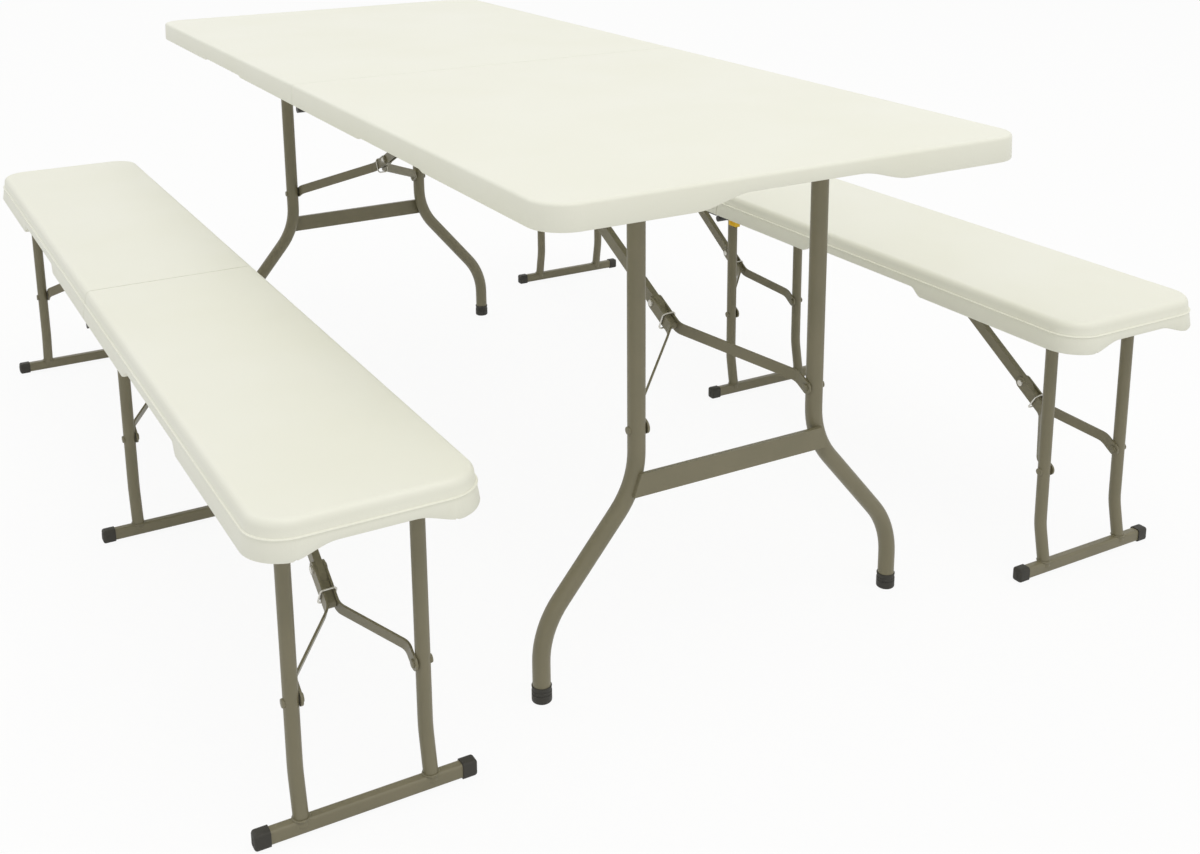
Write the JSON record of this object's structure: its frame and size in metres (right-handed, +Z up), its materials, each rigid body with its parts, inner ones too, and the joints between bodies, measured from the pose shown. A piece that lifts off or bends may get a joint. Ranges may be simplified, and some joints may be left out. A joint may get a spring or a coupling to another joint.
{
  "type": "folding picnic table set",
  "caption": "Folding picnic set: a fold-in-half moulded plastic table on splayed tube legs and matching long benches, all with leg frames that fold under on ring-locked braces.",
  "frame": {"origin": "on the floor under the middle of the set's bounding box", "axes": "+X along the table towards its near end, +Y to the right-hand bench, +Z up"},
  "size_m": [1.8284, 1.496, 0.74],
  "materials": {
    "moulded_plastic": "fine matt moulded grain",
    "coated_steel": "satin powder coat",
    "foot_rubber": "matt",
    "bright_wire": "zinc plated",
    "dark_steel": "black coat",
    "latch_plastic": "satin"
  },
  "bodies": {
    "table_near_half": {"table_top_near": "moulded_plastic", "table_brackets_near": "coated_steel", "table_hinge_near": "dark_steel"},
    "table_far_half": {"table_top_far": "moulded_plastic", "table_brackets_far": "coated_steel", "table_hinge_far": "dark_steel"},
    "table_near_frame": {"table_near_legs": "coated_steel", "table_near_feet": "foot_rubber"},
    "table_near_link": {"table_near_link": "coated_steel"},
    "table_near_arms": {"table_near_arms": "coated_steel"},
    "table_near_ring": {"table_near_ring": "bright_wire"},
    "table_far_frame": {"table_far_legs": "coated_steel", "table_far_feet": "foot_rubber"},
    "table_far_link": {"table_far_link": "coated_steel"},
    "table_far_arms": {"table_far_arms": "coated_steel"},
    "table_far_ring": {"table_far_ring": "bright_wire"},
    "left_near_half": {"left_seat_near": "moulded_plastic", "left_brackets_near": "coated_steel", "left_hinge_near": "dark_steel"},
    "left_far_half": {"left_seat_far": "moulded_plastic", "left_brackets_far": "coated_steel", "left_hinge_far": "dark_steel"},
    "left_near_frame": {"left_near_legs": "coated_steel", "left_near_feet": "foot_rubber"},
    "left_near_link": {"left_near_link": "coated_steel"},
    "left_near_arms": {"left_near_arms": "coated_steel"},
    "left_near_ring": {"left_near_ring": "bright_wire"},
    "left_mid_frame": {"left_mid_legs": "coated_steel", "left_mid_feet": "foot_rubber"},
    "left_mid_link": {"left_mid_link": "coated_steel"},
    "left_mid_arms": {"left_mid_arms": "coated_steel"},
    "left_mid_ring": {"left_mid_ring": "bright_wire"},
    "left_far_frame": {"left_far_legs": "coated_steel", "left_far_feet": "foot_rubber"},
    "left_far_link": {"left_far_link": "coated_steel"},
    "left_far_arms": {"left_far_arms": "coated_steel"},
    "left_far_ring": {"left_far_ring": "bright_wire"},
    "left_latch": {"left_latch": "latch_plastic"},
    "right_near_half": {"right_seat_near": "moulded_plastic", "right_brackets_near": "coated_steel", "right_hinge_near": "dark_steel"},
    "right_far_half": {"right_seat_far": "moulded_plastic", "right_brackets_far": "coated_steel", "right_hinge_far": "dark_steel"},
    "right_near_frame": {"right_near_legs": "coated_steel", "right_near_feet": "foot_rubber"},
    "right_near_link": {"right_near_link": "coated_steel"},
    "right_near_arms": {"right_near_arms": "coated_steel"},
    "right_near_ring": {"right_near_ring": "bright_wire"},
    "right_mid_frame": {"right_mid_legs": "coated_steel", "right_mid_feet": "foot_rubber"},
    "right_mid_link": {"right_mid_link": "coated_steel"},
    "right_mid_arms": {"right_mid_arms": "coated_steel"},
    "right_mid_ring": {"right_mid_ring": "bright_wire"},
    "right_far_frame": {"right_far_legs": "coated_steel", "right_far_feet": "foot_rubber"},
    "right_far_link": {"right_far_link": "coated_steel"},
    "right_far_arms": {"right_far_arms": "coated_steel"},
    "right_far_ring": {"right_far_ring": "bright_wire"},
    "right_latch": {"right_latch": "latch_plastic"}
  },
  "joints": [
    {"name": "table_fold", "type": "hinge", "parent": "table_near_half", "child": "table_far_half", "pos_m": [0.01, -0.02, 0.69775], "axis": [0, -1, 0], "range_deg": [0, 85]},
    {"name": "table_near_leg_fold", "type": "hinge", "parent": "table_near_half", "child": "table_near_frame", "pos_m": [0.742, -0.02, 0.71], "axis": [0, 1, 0], "range_deg": [0, 90]},
    {"name": "table_near_link_turn", "type": "hinge", "parent": "table_near_half", "child": "table_near_link", "pos_m": [0.05, -0.02, 0.71], "axis": [0, 1, 0], "range_deg": [-27, 0]},
    {"name": "table_near_arm_turn", "type": "hinge", "parent": "table_near_link", "child": "table_near_arms", "pos_m": [0.54966, -0.02, 0.45872], "axis": [0, 1, 0], "range_deg": [0, 180.5]},
    {"name": "table_near_ring_slide", "type": "slide", "parent": "table_near_link", "child": "table_near_ring", "axis": [-0.8934, 0, 0.4493], "range_m": [0, 0.181]},
    {"name": "table_far_leg_fold", "type": "hinge", "parent": "table_far_half", "child": "table_far_frame", "pos_m": [-0.722, -0.02, 0.71], "axis": [0, -1, 0], "range_deg": [0, 90]},
    {"name": "table_far_link_turn", "type": "hinge", "parent": "table_far_half", "child": "table_far_link", "pos_m": [-0.03, -0.02, 0.71], "axis": [0, -1, 0], "range_deg": [-27, 0]},
    {"name": "table_far_arm_turn", "type": "hinge", "parent": "table_far_link", "child": "table_far_arms", "pos_m": [-0.52966, -0.02, 0.45872], "axis": [0, -1, 0], "range_deg": [0, 180.5]},
    {"name": "table_far_ring_slide", "type": "slide", "parent": "table_far_link", "child": "table_far_ring", "axis": [0.8934, 0, 0.4493], "range_m": [0, 0.181]},
    {"name": "left_bench_slide", "type": "slide", "parent": "table_near_half", "child": "left_near_half", "axis": [0, -1, 0], "range_m": [0, 0.4]},
    {"name": "left_fold", "type": "hinge", "parent": "left_near_half", "child": "left_far_half", "pos_m": [0, -0.605, 0.38475], "axis": [0, -1, 0], "range_deg": [0, 85]},
    {"name": "left_near_leg_fold", "type": "hinge", "parent": "left_near_half", "child": "left_near_frame", "pos_m": [0.822, -0.605, 0.407], "axis": [0, 1, 0], "range_deg": [0, 90]},
    {"name": "left_near_link_turn", "type": "hinge", "parent": "left_near_half", "child": "left_near_link", "pos_m": [0.454, -0.605, 0.407], "axis": [0, 1, 0], "range_deg": [-33.3, 0]},
    {"name": "left_near_arm_turn", "type": "hinge", "parent": "left_near_link", "child": "left_near_arms", "pos_m": [0.69209, -0.605, 0.25237], "axis": [0, 1, 0], "range_deg": [0, 180.5]},
    {"name": "left_near_ring_slide", "type": "slide", "parent": "left_near_link", "child": "left_near_ring", "axis": [-0.8387, 0, 0.5447], "range_m": [0, 0.181]},
    {"name": "left_mid_leg_fold", "type": "hinge", "parent": "left_far_half", "child": "left_mid_frame", "pos_m": [-0.026, -0.605, 0.407], "axis": [0, 1, 0], "range_deg": [0, 90]},
    {"name": "left_mid_link_turn", "type": "hinge", "parent": "left_far_half", "child": "left_mid_link", "pos_m": [-0.394, -0.605, 0.407], "axis": [0, 1, 0], "range_deg": [-33.3, 0]},
    {"name": "left_mid_arm_turn", "type": "hinge", "parent": "left_mid_link", "child": "left_mid_arms", "pos_m": [-0.15591, -0.605, 0.25237], "axis": [0, 1, 0], "range_deg": [0, 180.5]},
    {"name": "left_mid_ring_slide", "type": "slide", "parent": "left_mid_link", "child": "left_mid_ring", "axis": [-0.8387, 0, 0.5447], "range_m": [0, 0.181]},
    {"name": "left_far_leg_fold", "type": "hinge", "parent": "left_far_half", "child": "left_far_frame", "pos_m": [-0.872, -0.605, 0.407], "axis": [0, -1, 0], "range_deg": [0, 90]},
    {"name": "left_far_link_turn", "type": "hinge", "parent": "left_far_half", "child": "left_far_link", "pos_m": [-0.504, -0.605, 0.407], "axis": [0, -1, 0], "range_deg": [-33.3, 0]},
    {"name": "left_far_arm_turn", "type": "hinge", "parent": "left_far_link", "child": "left_far_arms", "pos_m": [-0.74209, -0.605, 0.25237], "axis": [0, -1, 0], "range_deg": [0, 180.5]},
    {"name": "left_far_ring_slide", "type": "slide", "parent": "left_far_link", "child": "left_far_ring", "axis": [0.8387, 0, 0.5447], "range_m": [0, 0.181]},
    {"name": "left_latch_slide", "type": "slide", "parent": "left_near_half", "child": "left_latch", "axis": [1, 0, 0], "range_m": [0, 0.006]},
    {"name": "right_bench_slide", "type": "slide", "parent": "table_near_half", "child": "right_near_half", "axis": [0, 1, 0], "range_m": [0, 0.4]},
    {"name": "right_fold", "type": "hinge", "parent": "right_near_half", "child": "right_far_half", "pos_m": [0, 0.605, 0.38475], "axis": [0, -1, 0], "range_deg": [0, 85]},
    {"name": "right_near_leg_fold", "type": "hinge", "parent": "right_near_half", "child": "right_near_frame", "pos_m": [0.822, 0.605, 0.407], "axis": [0, 1, 0], "range_deg": [0, 90]},
    {"name": "right_near_link_turn", "type": "hinge", "parent": "right_near_half", "child": "right_near_link", "pos_m": [0.454, 0.605, 0.407], "axis": [0, 1, 0], "range_deg": [-33.3, 0]},
    {"name": "right_near_arm_turn", "type": "hinge", "parent": "right_near_link", "child": "right_near_arms", "pos_m": [0.69209, 0.605, 0.25237], "axis": [0, 1, 0], "range_deg": [0, 180.5]},
    {"name": "right_near_ring_slide", "type": "slide", "parent": "right_near_link", "child": "right_near_ring", "axis": [-0.8387, 0, 0.5447], "range_m": [0, 0.181]},
    {"name": "right_mid_leg_fold", "type": "hinge", "parent": "right_far_half", "child": "right_mid_frame", "pos_m": [-0.026, 0.605, 0.407], "axis": [0, 1, 0], "range_deg": [0, 90]},
    {"name": "right_mid_link_turn", "type": "hinge", "parent": "right_far_half", "child": "right_mid_link", "pos_m": [-0.394, 0.605, 0.407], "axis": [0, 1, 0], "range_deg": [-33.3, 0]},
    {"name": "right_mid_arm_turn", "type": "hinge", "parent": "right_mid_link", "child": "right_mid_arms", "pos_m": [-0.15591, 0.605, 0.25237], "axis": [0, 1, 0], "range_deg": [0, 180.5]},
    {"name": "right_mid_ring_slide", "type": "slide", "parent": "right_mid_link", "child": "right_mid_ring", "axis": [-0.8387, 0, 0.5447], "range_m": [0, 0.181]},
    {"name": "right_far_leg_fold", "type": "hinge", "parent": "right_far_half", "child": "right_far_frame", "pos_m": [-0.872, 0.605, 0.407], "axis": [0, -1, 0], "range_deg": [0, 90]},
    {"name": "right_far_link_turn", "type": "hinge", "parent": "right_far_half", "child": "right_far_link", "pos_m": [-0.504, 0.605, 0.407], "axis": [0, -1, 0], "range_deg": [-33.3, 0]},
    {"name": "right_far_arm_turn", "type": "hinge", "parent": "right_far_link", "child": "right_far_arms", "pos_m": [-0.74209, 0.605, 0.25237], "axis": [0, -1, 0], "range_deg": [0, 180.5]},
    {"name": "right_far_ring_slide", "type": "slide", "parent": "right_far_link", "child": "right_far_ring", "axis": [0.8387, 0, 0.5447], "range_m": [0, 0.181]},
    {"name": "right_latch_slide", "type": "slide", "parent": "right_near_half", "child": "right_latch", "axis": [1, 0, 0], "range_m": [0, 0.006]}
  ],
  "couplings": [
    {"joint": "table_near_link_turn", "follows": "table_near_leg_fold", "ratio": -0.29664},
    {"joint": "table_near_arm_turn", "follows": "table_near_leg_fold", "ratio": 2},
    {"joint": "table_near_ring_slide", "follows": "table_near_leg_fold", "m_per_rad": 0.11459},
    {"joint": "table_far_link_turn", "follows": "table_far_leg_fold", "ratio": -0.29664},
    {"joint": "table_far_arm_turn", "follows": "table_far_leg_fold", "ratio": 2},
    {"joint": "table_far_ring_slide", "follows": "table_far_leg_fold", "m_per_rad": 0.11459},
    {"joint": "left_near_link_turn", "follows": "left_near_leg_fold", "ratio": -0.36669},
    {"joint": "left_near_arm_turn", "follows": "left_near_leg_fold", "ratio": 2},
    {"joint": "left_near_ring_slide", "follows": "left_near_leg_fold", "m_per_rad": 0.11459},
    {"joint": "left_mid_link_turn", "follows": "left_mid_leg_fold", "ratio": -0.36669},
    {"joint": "left_mid_arm_turn", "follows": "left_mid_leg_fold", "ratio": 2},
    {"joint": "left_mid_ring_slide", "follows": "left_mid_leg_fold", "m_per_rad": 0.11459},
    {"joint": "left_far_link_turn", "follows": "left_far_leg_fold", "ratio": -0.36669},
    {"joint": "left_far_arm_turn", "follows": "left_far_leg_fold", "ratio": 2},
    {"joint": "left_far_ring_slide", "follows": "left_far_leg_fold", "m_per_rad": 0.11459},
    {"joint": "right_near_link_turn", "follows": "right_near_leg_fold", "ratio": -0.36669},
    {"joint": "right_near_arm_turn", "follows": "right_near_leg_fold", "ratio": 2},
    {"joint": "right_near_ring_slide", "follows": "right_near_leg_fold", "m_per_rad": 0.11459},
    {"joint": "right_mid_link_turn", "follows": "right_mid_leg_fold", "ratio": -0.36669},
    {"joint": "right_mid_arm_turn", "follows": "right_mid_leg_fold", "ratio": 2},
    {"joint": "right_mid_ring_slide", "follows": "right_mid_leg_fold", "m_per_rad": 0.11459},
    {"joint": "right_far_link_turn", "follows": "right_far_leg_fold", "ratio": -0.36669},
    {"joint": "right_far_arm_turn", "follows": "right_far_leg_fold", "ratio": 2},
    {"joint": "right_far_ring_slide", "follows": "right_far_leg_fold", "m_per_rad": 0.11459}
  ]
}
